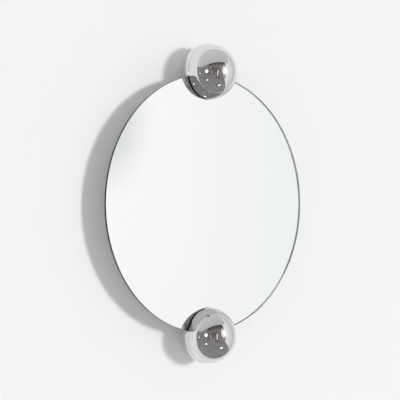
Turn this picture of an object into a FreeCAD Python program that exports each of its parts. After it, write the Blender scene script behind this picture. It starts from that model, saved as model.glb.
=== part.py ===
"""Frameless round mirror held between two polished ball clamps.

A disc of mirror glass stands off the wall between two hollow chrome balls, one at its top and one
at its bottom. Each ball is split in the plane of the glass's front face: the front cap and the rear
cup pinch the glass between two thin gaskets, drawn together by one bolt on the ball's axis, just
outside the glass edge. The mouth of each cup faces the wall and hangs on a hook pressed out of a
small round wall plate.

Millimetres. +X to the right, +Y into the wall, +Z up. The origin is on the wall's surface, behind
the centre of the glass, midway between the four wall screws.
"""

import FreeCAD, Part
import math
import os

from FreeCAD import Vector

# ---- driving dimensions -------------------------------------------------------------------------

# Mirror glass and the layers on its back.
GLASS_DIAMETER = 610.0
GLASS_THICKNESS = 6.0
GLASS_ARRIS = 0.6  # 45 degree polished bevel on both rims
SILVER_THICKNESS = 0.1
PAINT_THICKNESS = 0.1
FILM_THICKNESS = 0.3  # safety film over the paint
COATING_MARGIN = 0.2  # clear glass left between the silver and the arris
FILM_MARGIN = 5.0  # bare paint left round the safety film

# Ball clamps.
BALL_DIAMETER = 133.0
BALL_WALL = 2.0
SEAM_BEVEL = 0.4  # on the outer corner of the cap's rim and of the cup's rim
REGISTER_STEP = 0.6  # how far a rim's bore is wider than the hollow at its floor
CLAMP_PLATE_THICKNESS = 2.5  # plate across the cap's rim
BULKHEAD_THICKNESS = 3.0  # plate across the cup, behind the glass
GASKET_THICKNESS = 0.5
GASKET_INSET = 0.8  # from the ball's surface to the gasket's rim
SLOT_CLEARANCE = 0.8  # between the glass edge and the cup
FIT_CLEARANCE = 0.05  # all round a plate in its register, or a sleeve on its bolt

# Clamp bolt, a hexagon socket cap screw, with its washer and the sleeve that the glass rests on.
BOLT_DIAMETER = 8.0
BOLT_LENGTH = 25.0  # under the head
BOLT_HEAD_DIAMETER = 13.0
BOLT_HEAD_HEIGHT = 8.0
SOCKET_ACROSS_FLATS = 6.0
SOCKET_DEPTH = 4.0
BOLT_HOLE_CLEARANCE = 0.25  # all round the bolt
WASHER_DIAMETER = 16.0
WASHER_THICKNESS = 1.6
BOSS_WALL = 5.0  # metal round the bolt's thread
BOSS_FLOOR = 1.5  # metal past the blind end of the thread
THREAD_RUNOUT = 2.0  # from the bolt's tip to the blind end
SLEEVE_WALL = 3.95
EDGE_CLEARANCE = 0.1  # between the sleeve and the glass edge

# Wall plates and the windows that hang on their hooks.
SCREW_SPACING = 32.0
SCREW_HOLE_DIAMETER = 4.5
COUNTERSINK_DIAMETER = 8.4
PLATE_EDGE = 7.0  # from a screw's centre to the plate's rim
PLATE_THICKNESS = 2.5
HOOK_WIDTH = 16.0
HOOK_CATCH = 6.0  # how far the hook stands up behind the window's top edge
HOOK_BEND_RADIUS = 0.5  # inside each bend
LIFT_CLEARANCE = 1.0  # lift left over once the window is clear of the hook
LANCE_CLEARANCE = 0.5  # each side of the hook, in the opening that it was pressed from
PLATE_GAP = 1.0  # between the wall plate and the hanger plate
HOOK_GAP = 0.5  # between the hanger plate and the hook
HANGER_THICKNESS = 2.5
WINDOW_SIDE_CLEARANCE = 2.0
WINDOW_FOOT_CLEARANCE = 0.5  # below the lifted hook
WASHER_PASS_CLEARANCE = 0.5  # each side of the washer, passed in through the window
MOUTH_CLEARANCE = 1.2  # between the lifted mouth and the wall plate
FELT_THICKNESS = 1.0
FELT_INSET = 0.3

# ---- sizes that follow --------------------------------------------------------------------------

GLASS_RADIUS = GLASS_DIAMETER / 2
BALL_RADIUS = BALL_DIAMETER / 2
HOLLOW_RADIUS = BALL_RADIUS - BALL_WALL

# Depths from the middle of the glass, which is also the ball's centre. Positive is to the wall.
GLASS_FRONT = -GLASS_THICKNESS / 2
GLASS_BACK = GLASS_THICKNESS / 2
SILVER_BACK = GLASS_BACK + SILVER_THICKNESS
PAINT_BACK = SILVER_BACK + PAINT_THICKNESS
FILM_BACK = PAINT_BACK + FILM_THICKNESS
CAP_RIM = GLASS_FRONT - GASKET_THICKNESS
CLAMP_PLATE_FRONT = CAP_RIM - CLAMP_PLATE_THICKNESS
CUP_RIM = GLASS_FRONT
BULKHEAD_FRONT = FILM_BACK + GASKET_THICKNESS
BULKHEAD_BACK = BULKHEAD_FRONT + BULKHEAD_THICKNESS

# Bolt.
BOLT_RADIUS = BOLT_DIAMETER / 2
BOLT_SEAT = BULKHEAD_BACK + WASHER_THICKNESS
BOLT_TIP = BOLT_SEAT - BOLT_LENGTH
BOSS_FRONT = BOLT_TIP - THREAD_RUNOUT - BOSS_FLOOR
BOSS_RADIUS = BOLT_RADIUS + BOSS_WALL
SLEEVE_RADIUS = BOLT_RADIUS + FIT_CLEARANCE + SLEEVE_WALL
BALL_OFFSET = GLASS_RADIUS + EDGE_CLEARANCE + SLEEVE_RADIUS  # from the mirror's centre

# Hook, wall plate and the cup's mouth, which has to clear the plate over the whole lift.
LIFT = HOOK_CATCH + LIFT_CLEARANCE
PLATE_RADIUS = SCREW_SPACING / 2 + PLATE_EDGE
MOUTH_RADIUS = PLATE_RADIUS + LIFT + MOUTH_CLEARANCE
MOUTH_DEPTH = math.sqrt(HOLLOW_RADIUS ** 2 - MOUTH_RADIUS ** 2)
MOUTH_RIM_RADIUS = math.sqrt(BALL_RADIUS ** 2 - MOUTH_DEPTH ** 2)
WALL_DEPTH = MOUTH_DEPTH + FELT_THICKNESS
PLATE_FRONT = WALL_DEPTH - PLATE_THICKNESS
HANGER_BACK = PLATE_FRONT - PLATE_GAP
HANGER_FRONT = HANGER_BACK - HANGER_THICKNESS
HOOK_BACK = HANGER_FRONT - HOOK_GAP
HOOK_FRONT = HOOK_BACK - PLATE_THICKNESS
WINDOW_WIDTH = max(HOOK_WIDTH + 2 * WINDOW_SIDE_CLEARANCE, WASHER_DIAMETER + 2 * WASHER_PASS_CLEARANCE)
WINDOW_HEIGHT = max(LIFT + PLATE_THICKNESS + WINDOW_FOOT_CLEARANCE,
                    WASHER_DIAMETER + 2 * WASHER_PASS_CLEARANCE)
WINDOW_TOP = WINDOW_HEIGHT / 2  # above the ball's axis
HOOK_FOOT = WINDOW_TOP - PLATE_THICKNESS
HOOK_TOP = WINDOW_TOP + HOOK_CATCH
LANCE_LENGTH = (PLATE_FRONT - HOOK_FRONT) + (HOOK_TOP - HOOK_FOOT)  # metal pressed out for the hook


# ---- helpers ------------------------------------------------------------------------------------

AXIS = Vector(0, 1, 0)


def disc(radius, front, back, centre_z=0.0):
    """Round slab across the depth axis, from one depth to another."""
    return Part.makeCylinder(radius, back - front, Vector(0, front, centre_z), AXIS)


def ring(outer, inner, front, back):
    return disc(outer, front, back).cut(disc(inner, front, back))


def block(width, front, back, bottom, top):
    """Box centred on X."""
    return Part.makeBox(width, back - front, top - bottom, Vector(-width / 2, front, bottom))


def revolved(points):
    """Solid turned about the ball's axis from a closed outline of (radius, depth) points."""
    outline = Part.makePolygon([Vector(r, y, 0) for r, y in points + points[:1]])
    return Part.Face(outline).revolve(Vector(0, 0, 0), AXIS, 360)


def radius_at(sphere_radius, depth):
    return math.sqrt(sphere_radius ** 2 - depth ** 2)


def arc_edge(sphere_radius, start_depth, end_depth):
    """Meridian of a sphere about the origin, from one depth to another."""
    depths = (start_depth, (start_depth + end_depth) / 2, end_depth)
    points = [Vector(radius_at(sphere_radius, y), y, 0) for y in depths]
    return Part.Arc(*points).toShape()


def line_edge(start, end):
    return Part.LineSegment(Vector(start[0], start[1], 0), Vector(end[0], end[1], 0)).toShape()


def turned(edges):
    """Solid turned about the ball's axis from a closed loop of edges."""
    return Part.Face(Part.Wire(Part.__sortEdges__(edges))).revolve(Vector(0, 0, 0), AXIS, 360)


# ---- the glass and its layers -------------------------------------------------------------------

def mirror_glass():
    """Disc with its two rims arrissed."""
    arris_radius = GLASS_RADIUS - GLASS_ARRIS
    return revolved([
        (0, GLASS_FRONT),
        (arris_radius, GLASS_FRONT),
        (GLASS_RADIUS, GLASS_FRONT + GLASS_ARRIS),
        (GLASS_RADIUS, GLASS_BACK - GLASS_ARRIS),
        (arris_radius, GLASS_BACK),
        (0, GLASS_BACK),
    ])


def coating(front, back, margin):
    return disc(GLASS_RADIUS - GLASS_ARRIS - margin, front, back)


# ---- one ball clamp, about its own centre; outward is +1 at the top and -1 at the bottom ----------

def glass_cylinder(radius, outward, front, back):
    """Cylinder about the mirror's centre, seen from the ball's centre."""
    return disc(radius, front, back, -outward * BALL_OFFSET)


def front_cap(outward):
    """Half ball in front of the glass, with a register for the clamp plate turned in its rim."""
    rim_radius = radius_at(BALL_RADIUS, CAP_RIM)
    register = radius_at(HOLLOW_RADIUS, CLAMP_PLATE_FRONT) + REGISTER_STEP
    bevel_depth = CAP_RIM - SEAM_BEVEL
    return turned([
        arc_edge(BALL_RADIUS, -BALL_RADIUS, bevel_depth),
        line_edge((radius_at(BALL_RADIUS, bevel_depth), bevel_depth), (rim_radius - SEAM_BEVEL, CAP_RIM)),
        line_edge((rim_radius - SEAM_BEVEL, CAP_RIM), (register, CAP_RIM)),
        line_edge((register, CAP_RIM), (register, CLAMP_PLATE_FRONT)),
        line_edge((register, CLAMP_PLATE_FRONT),
                  (radius_at(HOLLOW_RADIUS, CLAMP_PLATE_FRONT), CLAMP_PLATE_FRONT)),
        arc_edge(HOLLOW_RADIUS, CLAMP_PLATE_FRONT, -HOLLOW_RADIUS),
        line_edge((0, -HOLLOW_RADIUS), (0, -BALL_RADIUS)),
    ])


def clamp_plate(outward):
    """Plate across the cap's rim, with the threaded boss that the clamp bolt pulls on."""
    radius = radius_at(HOLLOW_RADIUS, CLAMP_PLATE_FRONT) + REGISTER_STEP - FIT_CLEARANCE
    plate = disc(radius, CLAMP_PLATE_FRONT, CAP_RIM)
    boss = disc(BOSS_RADIUS, BOSS_FRONT, CLAMP_PLATE_FRONT)
    thread = disc(BOLT_RADIUS + FIT_CLEARANCE, BOLT_TIP - THREAD_RUNOUT, CAP_RIM)
    return plate.fuse(boss).removeSplitter().cut(thread)


def gasket(outward, front, back):
    """Half-moon pad that covers the glass inside the ball."""
    rim = disc(radius_at(BALL_RADIUS, front) - GASKET_INSET, front, back)
    glass = glass_cylinder(GLASS_RADIUS - GLASS_ARRIS - COATING_MARGIN, outward, front, back)
    return rim.common(glass)


def front_gasket(outward):
    return gasket(outward, CAP_RIM, GLASS_FRONT)


def rear_gasket(outward):
    """Lies on the safety film, so it stops at the film's rim."""
    film = glass_cylinder(GLASS_RADIUS - GLASS_ARRIS - FILM_MARGIN, outward, FILM_BACK, BULKHEAD_FRONT)
    return gasket(outward, FILM_BACK, BULKHEAD_FRONT).common(film)


def edge_sleeve(outward):
    """Nylon tube on the clamp bolt, from the clamp plate to the bulkhead, under the glass edge."""
    return ring(SLEEVE_RADIUS, BOLT_RADIUS + FIT_CLEARANCE, CAP_RIM, BULKHEAD_FRONT)


def rear_cup(outward):
    """Open cup between the glass and the wall, slotted so that the glass slides in from one side."""
    rim_radius = radius_at(BALL_RADIUS, CUP_RIM)
    register = radius_at(HOLLOW_RADIUS, BULKHEAD_BACK) + REGISTER_STEP
    bevel_depth = CUP_RIM + SEAM_BEVEL
    cup = turned([
        line_edge((register, CUP_RIM), (rim_radius - SEAM_BEVEL, CUP_RIM)),
        line_edge((rim_radius - SEAM_BEVEL, CUP_RIM), (radius_at(BALL_RADIUS, bevel_depth), bevel_depth)),
        arc_edge(BALL_RADIUS, bevel_depth, MOUTH_DEPTH),
        line_edge((MOUTH_RIM_RADIUS, MOUTH_DEPTH), (MOUTH_RADIUS, MOUTH_DEPTH)),
        arc_edge(HOLLOW_RADIUS, MOUTH_DEPTH, BULKHEAD_BACK),
        line_edge((radius_at(HOLLOW_RADIUS, BULKHEAD_BACK), BULKHEAD_BACK), (register, BULKHEAD_BACK)),
        line_edge((register, BULKHEAD_BACK), (register, CUP_RIM)),
    ])
    slot = glass_cylinder(GLASS_RADIUS + SLOT_CLEARANCE, outward, CUP_RIM - SLOT_CLEARANCE, BULKHEAD_FRONT)
    return cup.cut(slot)


def cup_bulkhead(outward):
    """Plate across the cup that backs the glass and takes the clamp bolt's pull."""
    radius = radius_at(HOLLOW_RADIUS, BULKHEAD_BACK) + REGISTER_STEP - FIT_CLEARANCE
    return ring(radius, BOLT_RADIUS + BOLT_HOLE_CLEARANCE, BULKHEAD_FRONT, BULKHEAD_BACK)


def clamp_washer(outward):
    return ring(WASHER_DIAMETER / 2, BOLT_RADIUS + BOLT_HOLE_CLEARANCE, BULKHEAD_BACK, BOLT_SEAT)


def clamp_bolt(outward):
    """Socket cap screw, put in through the cup's window from the wall side."""
    head_back = BOLT_SEAT + BOLT_HEAD_HEIGHT
    shank = disc(BOLT_RADIUS, BOLT_TIP, BOLT_SEAT)
    head = disc(BOLT_HEAD_DIAMETER / 2, BOLT_SEAT, head_back)
    corner = SOCKET_ACROSS_FLATS / math.sqrt(3)
    turns = [math.radians(60 * i) for i in range(6)]
    hexagon = [Vector(corner * math.cos(t), head_back - SOCKET_DEPTH, corner * math.sin(t)) for t in turns]
    socket = Part.Face(Part.makePolygon(hexagon + hexagon[:1])).extrude(Vector(0, SOCKET_DEPTH, 0))
    return shank.fuse(head).removeSplitter().cut(socket)


def hanger_plate(outward):
    """Plate in the cup's mouth, shaped to the hollow at its rim, with the window that hangs."""
    plate = turned([
        line_edge((0, HANGER_FRONT), (radius_at(HOLLOW_RADIUS, HANGER_FRONT), HANGER_FRONT)),
        arc_edge(HOLLOW_RADIUS, HANGER_FRONT, HANGER_BACK),
        line_edge((radius_at(HOLLOW_RADIUS, HANGER_BACK), HANGER_BACK), (0, HANGER_BACK)),
        line_edge((0, HANGER_BACK), (0, HANGER_FRONT)),
    ])
    window = block(WINDOW_WIDTH, HANGER_FRONT, HANGER_BACK, WINDOW_TOP - WINDOW_HEIGHT, WINDOW_TOP)
    return plate.cut(window)


def felt_ring(outward):
    """Felt on the rim of the cup's mouth, against the wall."""
    return ring(MOUTH_RIM_RADIUS - FELT_INSET, MOUTH_RADIUS + FELT_INSET, MOUTH_DEPTH, WALL_DEPTH)


def hook():
    """Strip bent out of the wall plate: forward through the window, then up in front of it."""
    bend = HOOK_BEND_RADIUS
    outer = bend + PLATE_THICKNESS
    profile = [
        Vector(0, WALL_DEPTH, HOOK_FOOT),
        Vector(0, WALL_DEPTH, WINDOW_TOP),
        Vector(0, PLATE_FRONT, WINDOW_TOP),
        Vector(0, HOOK_BACK, WINDOW_TOP),
        Vector(0, HOOK_BACK, HOOK_TOP),
        Vector(0, HOOK_FRONT, HOOK_TOP),
        Vector(0, HOOK_FRONT, HOOK_FOOT),
    ]
    strip = Part.Face(Part.makePolygon(profile + profile[:1])).extrude(Vector(HOOK_WIDTH, 0, 0))
    strip.translate(Vector(-HOOK_WIDTH / 2, 0, 0))

    def bend_edge(depth, height):
        """Edge along X through one corner of the profile."""
        return [e for e in strip.Edges
                if all(abs(v.Y - depth) < 1e-6 and abs(v.Z - height) < 1e-6 for v in e.Vertexes)]

    strip = strip.makeFillet(outer, bend_edge(HOOK_FRONT, HOOK_FOOT))
    return strip.makeFillet(bend, bend_edge(HOOK_BACK, WINDOW_TOP))


def wall_plate(outward):
    """Round pressed plate with two countersunk screw holes and an upturned hook."""
    plate = disc(PLATE_RADIUS, PLATE_FRONT, WALL_DEPTH)
    opening = block(HOOK_WIDTH + 2 * LANCE_CLEARANCE, PLATE_FRONT, WALL_DEPTH,
                    HOOK_FOOT - LANCE_LENGTH, HOOK_FOOT)
    plate = plate.cut(opening).fuse(hook()).removeSplitter()
    sink_depth = (COUNTERSINK_DIAMETER - SCREW_HOLE_DIAMETER) / 2
    for side in (-1, 1):
        at = Vector(side * SCREW_SPACING / 2, 0, 0)
        hole = disc(SCREW_HOLE_DIAMETER / 2, PLATE_FRONT, WALL_DEPTH)
        sink = Part.makeCone(COUNTERSINK_DIAMETER / 2, SCREW_HOLE_DIAMETER / 2, sink_depth,
                             Vector(0, PLATE_FRONT, 0), AXIS)
        plate = plate.cut(hole.fuse(sink).translated(at))
    return plate


CLAMP_PIECES = {
    "front_cap": front_cap,
    "clamp_plate": clamp_plate,
    "front_gasket": front_gasket,
    "edge_sleeve": edge_sleeve,
    "rear_gasket": rear_gasket,
    "rear_cup": rear_cup,
    "cup_bulkhead": cup_bulkhead,
    "clamp_washer": clamp_washer,
    "clamp_bolt": clamp_bolt,
    "hanger_plate": hanger_plate,
    "felt_ring": felt_ring,
    "wall_plate": wall_plate,
}


# ---- assembly -----------------------------------------------------------------------------------

def assembly():
    """Every piece by name, in the mirror's own frame with the wall at Y = 0."""
    centre = Vector(0, -WALL_DEPTH, 0)
    pieces = {
        "mirror_glass": mirror_glass(),
        "silver_layer": coating(GLASS_BACK, SILVER_BACK, COATING_MARGIN),
        "backing_paint": coating(SILVER_BACK, PAINT_BACK, COATING_MARGIN),
        "safety_film": coating(PAINT_BACK, FILM_BACK, FILM_MARGIN),
    }
    pieces = {name: shape.translated(centre) for name, shape in pieces.items()}
    for end, outward in (("top", 1), ("bottom", -1)):
        ball_centre = centre + Vector(0, 0, outward * BALL_OFFSET)
        for name, make in CLAMP_PIECES.items():
            pieces[f"{end}_{name}"] = make(outward).translated(ball_centre)
    return pieces


os.makedirs("parts", exist_ok=True)
for node, shape in assembly().items():
    assert shape.isValid() and len(shape.Solids) == 1, node
    shape.Solids[0].exportStep(f"parts/{node}.step")
    print(f"{node:22s} {shape.Volume:12.1f} mm3")
print(f"ball centres at y {-WALL_DEPTH:.2f}, z +-{BALL_OFFSET:.2f}; lift {LIFT:.2f}; "
      f"screws {SCREW_SPACING:.2f} x {2 * BALL_OFFSET:.2f}")
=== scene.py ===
"""Looks of a frameless round mirror held between two polished ball clamps.

Metres, in the row frame: +X to the right, +Y into the wall, +Z up, the wall's surface at Y = 0.
Depths inside the ball clamps are measured from the middle of the glass, positive to the wall.
"""

import logging
import math
from dataclasses import dataclass, field
from enum import Enum
from typing import Iterable, Optional, Sequence, Union

import bmesh
import bpy
from mathutils import Matrix, Vector


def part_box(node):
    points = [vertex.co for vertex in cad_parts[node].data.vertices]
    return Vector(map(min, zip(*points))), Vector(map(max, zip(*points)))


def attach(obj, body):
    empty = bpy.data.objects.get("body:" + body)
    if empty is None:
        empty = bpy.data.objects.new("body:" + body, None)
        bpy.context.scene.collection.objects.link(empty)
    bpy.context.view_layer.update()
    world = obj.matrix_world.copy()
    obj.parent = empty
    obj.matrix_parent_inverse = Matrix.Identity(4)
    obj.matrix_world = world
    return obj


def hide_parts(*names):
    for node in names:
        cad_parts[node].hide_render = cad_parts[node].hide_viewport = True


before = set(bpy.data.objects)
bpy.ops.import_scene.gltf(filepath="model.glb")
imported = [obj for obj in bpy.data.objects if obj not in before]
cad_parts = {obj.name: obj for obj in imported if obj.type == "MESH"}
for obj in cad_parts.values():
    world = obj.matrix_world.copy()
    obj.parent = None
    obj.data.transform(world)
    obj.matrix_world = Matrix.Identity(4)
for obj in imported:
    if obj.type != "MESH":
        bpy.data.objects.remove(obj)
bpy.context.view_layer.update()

LOG = logging.getLogger("mirror")
MM = 0.001
MIRROR_BODY = "mirror"
BLACK, WHITE = (0.0, 0.0, 0.0), (1.0, 1.0, 1.0)
NUMBER, COUNT = "NodeSocketFloat", "NodeSocketInt"
UNDER_ONE, UNDER_TWO = 0.5, 1.5  # thresholds on a count of bounces
CREASE = math.radians(30)  # above it an edge stays sharp
WELD, LATHE_WELD = 2e-7, 1e-6  # distances within which corners are one

Colour = tuple[float, float, float]
Point = tuple[float, float, float]
Place = tuple[float, float]
Outline = list[tuple[float, float]]
Piece, Material, Node = bpy.types.Object, bpy.types.Material, bpy.types.Node
Socket, Sockets = bpy.types.NodeSocket, bpy.types.bpy_prop_collection
Value = Union[float, int, Colour, Socket, Node]


# ---- names and sizes

class Slot(Enum):
    """The record's material slots."""

    GLASS = "clear_glass"
    SILVER = "silver"
    PAINT = "back_paint"
    FILM = "safety_film"
    CHROME = "ball_chrome"
    INNER_STEEL = "inner_steel"
    BOLT_STEEL = "bolt_steel"
    NYLON = "sleeve_nylon"
    RUBBER = "gasket_rubber"
    FELT = "felt"
    ZINC = "plate_zinc"


class End(Enum):
    """The mirror's two ends: first word of their pieces' names, outward angle, seed of the nap."""

    TOP = ("top", 0.0, 3)
    BOTTOM = ("bottom", math.pi, 7)

    def __init__(self, prefix: str, outward: float, seed: int) -> None:
        """Names an end's three values."""
        self.prefix, self.outward, self.seed = prefix, outward, seed


@dataclass(frozen=True)
class GlassSizes:
    """The glass and the layers on its back."""

    radius: float = 305.0 * MM
    half_thickness: float = 3.0 * MM
    arris: float = 0.6 * MM
    coat_margin: float = 0.2 * MM
    film_margin: float = 5.0 * MM
    silver: float = 0.1 * MM
    paint: float = 0.1 * MM
    film: float = 0.3 * MM
    silver_bite: float = 0.03 * MM  # how far the silver is let into the glass: no air is left
    segments: int = 360

    @property
    def flat_radius(self) -> float:
        """Radius of the flat faces, inside the arrises."""
        return self.radius - self.arris


@dataclass(frozen=True)
class ClampSizes:
    """One ball clamp, about its own centre."""

    ball: float = 66.5 * MM
    wall: float = 2.0 * MM
    bevel: float = 0.4 * MM
    register_step: float = 0.6 * MM
    cap_rim: float = -3.5 * MM
    plate_front: float = -6.0 * MM
    cup_rim: float = -3.0 * MM
    bulkhead_front: float = 4.0 * MM
    bulkhead_back: float = 7.0 * MM
    slot_radius: float = 305.8 * MM  # about the mirror's centre
    mouth_radius: float = 31.2 * MM
    felt_inset: float = 0.3 * MM
    felt: float = 1.0 * MM
    felt_round: float = 0.2 * MM

    @property
    def hollow(self) -> float:
        """Radius of the hollow."""
        return self.ball - self.wall

    @property
    def mouth_depth(self) -> float:
        """Depth of the cup's mouth."""
        return math.sqrt(self.hollow ** 2 - self.mouth_radius ** 2)


@dataclass(frozen=True)
class BoltSizes:
    """The clamp bolt, a socket cap screw."""

    seat: float = 8.6 * MM
    tip: float = -16.4 * MM
    shank: float = 4.0 * MM
    head: float = 6.5 * MM
    head_height: float = 8.0 * MM
    socket_flat: float = 3.0 * MM  # from the axis to a flat
    socket_depth: float = 4.0 * MM
    socket_cone: float = 0.5 * MM
    pitch: float = 1.25 * MM
    thread_depth: float = 0.6 * MM
    thread_length: float = 19.0 * MM
    tip_step: float = 1.2 * MM
    chamfer: float = 0.8 * MM
    edge: float = 0.3 * MM  # broken edges of the head's foot and of the socket
    shoulder: Place = (0.35 * MM, 0.25 * MM)  # in from the head's side and from its top
    ridges: int = 56
    ridge: float = 0.24 * MM
    ridge_sunk: float = 0.14 * MM
    ridge_ends: float = 3.2 * MM  # of the head's height that is left plain
    columns: int = 72
    thread_rows: int = 90

    def thread_radius(self, angle: float, along: float) -> float:
        """Radius of the thread, from root to crest, at an angle and a depth."""
        phase = ((along - self.tip) / self.pitch - angle / math.tau) % 1.0
        return self.shank - self.thread_depth * abs(2 * phase - 1)

    def socket_radius(self, angle: float) -> float:
        """Distance from the axis to the hexagon socket's wall at an angle."""
        sixth = math.pi / 3
        return self.socket_flat / math.cos((angle + sixth / 2) % sixth - sixth / 2)


# ---- node trees

class Graph:
    """Adds and joins nodes in one node tree."""

    def __init__(self, tree: bpy.types.NodeTree) -> None:
        """Starts on a tree, emptied of its default nodes."""
        self.tree = tree
        self.tree.nodes.clear()

    def feed(self, socket: Socket, value: Value) -> None:
        """Links a socket to another one, or sets its own value.

        Args:
            socket: The input to feed.
            value: A node's first output, any output, a number, a point or a colour.
        """
        if isinstance(value, Node):
            value = value.outputs[0]
        if isinstance(value, Socket):
            self.tree.links.new(value, socket)
        elif isinstance(value, tuple) and len(value) < len(socket.default_value):
            socket.default_value = (*value, 1.0)
        else:
            socket.default_value = value

    def add(self, kind: str, inputs: Optional[dict[Union[str, int], Value]] = None,
            **settings: object) -> Node:
        """Adds a node, sets its properties and feeds its inputs.

        Args:
            kind: Type name of the node.
            inputs: What to feed, by the input's name or number.
            settings: Properties of the node, by name.

        Returns:
            The new node.
        """
        node = self.tree.nodes.new(kind)
        for name, setting in settings.items():
            setattr(node, name, setting)
        for key, value in (inputs or {}).items():
            self.feed(node.inputs[key], value)
        return node

    def math(self, operation: str, *values: Value) -> Socket:
        """Adds one step of arithmetic."""
        return self.add("ShaderNodeMath", dict(enumerate(values)), operation=operation).outputs[0]

    def vector(self, operation: str, *values: Value) -> Sockets:
        """Adds one step of arithmetic on points."""
        return self.add("ShaderNodeVectorMath", dict(enumerate(values)),
                        operation=operation).outputs

    def noise(self, place: Socket, scale: float, detail: float, roughness: float = 0.5) -> Socket:
        """Adds a noise from 0 to 1: features to the metre, octaves, weight of the finer ones."""
        return self.add("ShaderNodeTexNoise", {
            "Vector": place, "Scale": scale, "Detail": detail,
            "Roughness": roughness}).outputs["Fac"]

    def spread(self, value: Socket, low: float, high: float, start: float = 0.3,
               stop: float = 0.7) -> Socket:
        """Maps a value between start and stop onto the range from low to high."""
        return self.add("ShaderNodeMapRange", {
            "Value": value, "From Min": start, "From Max": stop, "To Min": low,
            "To Max": high}).outputs["Result"]

    def blend(self, share: Value, first: Value, second: Value) -> Socket:
        """Mixes two colours by the share of the second one."""
        return self.add("ShaderNodeMix", {0: share, 6: first, 7: second},
                        data_type="RGBA").outputs[2]

    def stretched(self, place: Socket, scale: Point) -> Socket:
        """Scales the coordinates unevenly, so that a pattern on them runs in streaks."""
        return self.add("ShaderNodeMapping", {"Vector": place, "Scale": scale}).outputs[0]

    def split(self, point: Socket) -> Sockets:
        """Adds the X, Y and Z of a point."""
        return self.add("ShaderNodeSeparateXYZ", {"Vector": point}).outputs

    def point(self, **axes: Value) -> Socket:
        """Adds a point from its X, Y and Z, where one that isn't given is 0."""
        return self.add("ShaderNodeCombineXYZ", axes).outputs[0]

    def in_mirror(self) -> Socket:
        """Adds a value that is 1 in a reflection through the glass and 0 in one from bare metal."""
        path = self.add("ShaderNodeLightPath").outputs
        return self.math("MULTIPLY", self.math("GREATER_THAN", path["Transmission Depth"],
                                               UNDER_ONE),
                         self.math("LESS_THAN", path["Glossy Depth"], UNDER_TWO))


class MaterialGraph(Graph):
    """Nodes of one new material, read in the object's own coordinates."""

    def __init__(self, name: str) -> None:
        """Starts the material and its output."""
        self.material = bpy.data.materials.new(name)
        self.material.use_nodes = True
        super().__init__(self.material.node_tree)
        self.output = self.add("ShaderNodeOutputMaterial")
        self.place = self.add("ShaderNodeTexCoord").outputs["Object"]

    def show(self, shader: Node) -> Material:
        """Ends the material on a shader and returns it."""
        self.feed(self.output.inputs["Surface"], shader)
        return self.material

    def layered(self, share: Socket, lower: Node, upper: Node) -> Node:
        """Lays one shader over another, by its share."""
        return self.add("ShaderNodeMixShader", {0: share, 1: lower, 2: upper})


class SurfaceGraph(MaterialGraph):
    """Nodes of a material on one Principled surface."""

    def __init__(self, name: str) -> None:
        """Starts the material with its surface."""
        super().__init__(name)
        self.surface = self.add("ShaderNodeBsdfPrincipled")
        self.laid: dict["Pattern", Socket] = {}
        self.show(self.surface)

    def set(self, **values: Value) -> None:
        """Feeds inputs of the surface; an underscore in a name stands for a space."""
        for name, value in values.items():
            self.feed(self.surface.inputs[name.replace("_", " ")], value)

    def pattern(self, kind: "Pattern") -> Socket:
        """Lays a pattern on the surface, or finds it where it is laid already."""
        return self.laid.get(kind) or self.laid.setdefault(kind, kind.on(self))

    def relief(self, height: Socket, depth: float) -> None:
        """Presses a height from 0 to 1 into the surface's normal, as deep as is given."""
        self.set(Normal=self.add("ShaderNodeBump", {
            "Height": height, "Distance": depth, "Strength": 1.0}))


# ---- finishes

@dataclass(frozen=True)
class Grain:
    """A noise, drawn out into streaks where the axes have unlike scales."""

    per_metre: float
    octaves: float
    weight: float = 0.5  # of the finer octaves
    streaks: Point = (1.0, 1.0, 1.0)

    def on(self, graph: SurfaceGraph) -> Socket:
        """Adds the noise."""
        return graph.noise(graph.stretched(graph.place, self.streaks), self.per_metre,
                           self.octaves, self.weight)


@dataclass(frozen=True)
class Spangle:
    """Crystals of zinc, as the distance from the middle of each."""

    per_metre: float

    def on(self, graph: SurfaceGraph) -> Socket:
        """Adds the crystals."""
        return graph.add("ShaderNodeTexVoronoi", {
            "Vector": graph.place, "Scale": self.per_metre}).outputs["Distance"]


@dataclass(frozen=True)
class Scrim:
    """An open net of threads up and across, 1 on a thread and 0 between threads."""

    per_metre: float
    edge: Place  # from half a thread's width, in spacings

    def on(self, graph: SurfaceGraph) -> Socket:
        """Adds the net."""
        axes = graph.split(graph.place)
        return graph.math("MAXIMUM", *(self.threads(graph, axes[name]) for name in ("X", "Z")))

    def threads(self, graph: SurfaceGraph, across: Socket) -> Socket:
        """Adds one set of parallel threads."""
        spacings = graph.math("MULTIPLY", across, self.per_metre)
        return graph.spread(graph.math("PINGPONG", spacings, 0.5), 1.0, 0.0, *self.edge)


@dataclass(frozen=True)
class Overlay:
    """One pattern with a share of another on top."""

    first: "Pattern"
    second: "Pattern"
    share: float

    def on(self, graph: SurfaceGraph) -> Socket:
        """Adds the sum of the two."""
        return graph.math("ADD", graph.pattern(self.first),
                          graph.math("MULTIPLY", graph.pattern(self.second), self.share))


Pattern = Union[Grain, Spangle, Scrim, Overlay]


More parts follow.
